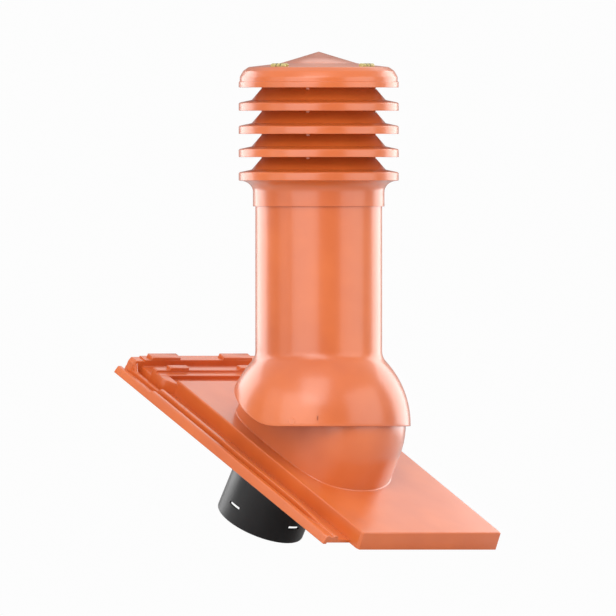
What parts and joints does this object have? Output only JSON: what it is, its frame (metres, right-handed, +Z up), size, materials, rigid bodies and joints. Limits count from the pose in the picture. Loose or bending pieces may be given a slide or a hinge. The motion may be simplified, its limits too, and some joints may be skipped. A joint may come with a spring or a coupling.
{
  "type": "roof ventilation chimney",
  "caption": "Roof vent: a flat interlocking tile with a moulded ball, a hood and pipe set plumb on it, louvred cap, and a black duct spigot underneath.",
  "frame": {"origin": "middle of the flat seat under the tile's head, where the tile bears on its batten", "axes": "+Z up along the plumb pipe, +Y level and up the roof, +X level along the eave, to the right as seen from the eave; the tile lies at a 30 degree pitch"},
  "size_m": [0.2913, 0.4015, 0.6286],
  "materials": {
    "orange_plastic": "satin-gloss moulded plastic",
    "black_plastic": "smooth black moulded plastic",
    "vial_liquid": "clear vial with yellow-green liquid"
  },
  "bodies": {
    "roof_base": {"roof_tile": "orange_plastic", "duct_spigot": "black_plastic"},
    "stack": {"hood_pipe": "orange_plastic", "collar_louvre": "orange_plastic", "louvre_1": "orange_plastic", "louvre_2": "orange_plastic", "louvre_3": "orange_plastic", "cap": "orange_plastic", "level_vial_left": "vial_liquid", "level_vial_right": "vial_liquid"}
  },
  "joints": [
    {"name": "pitch_hinge", "type": "hinge", "parent": "roof_base", "child": "stack", "pos_m": [0, -0.20247, -0.04831], "axis": [1, 0, 0], "range_deg": [-12, 15]}
  ]
}
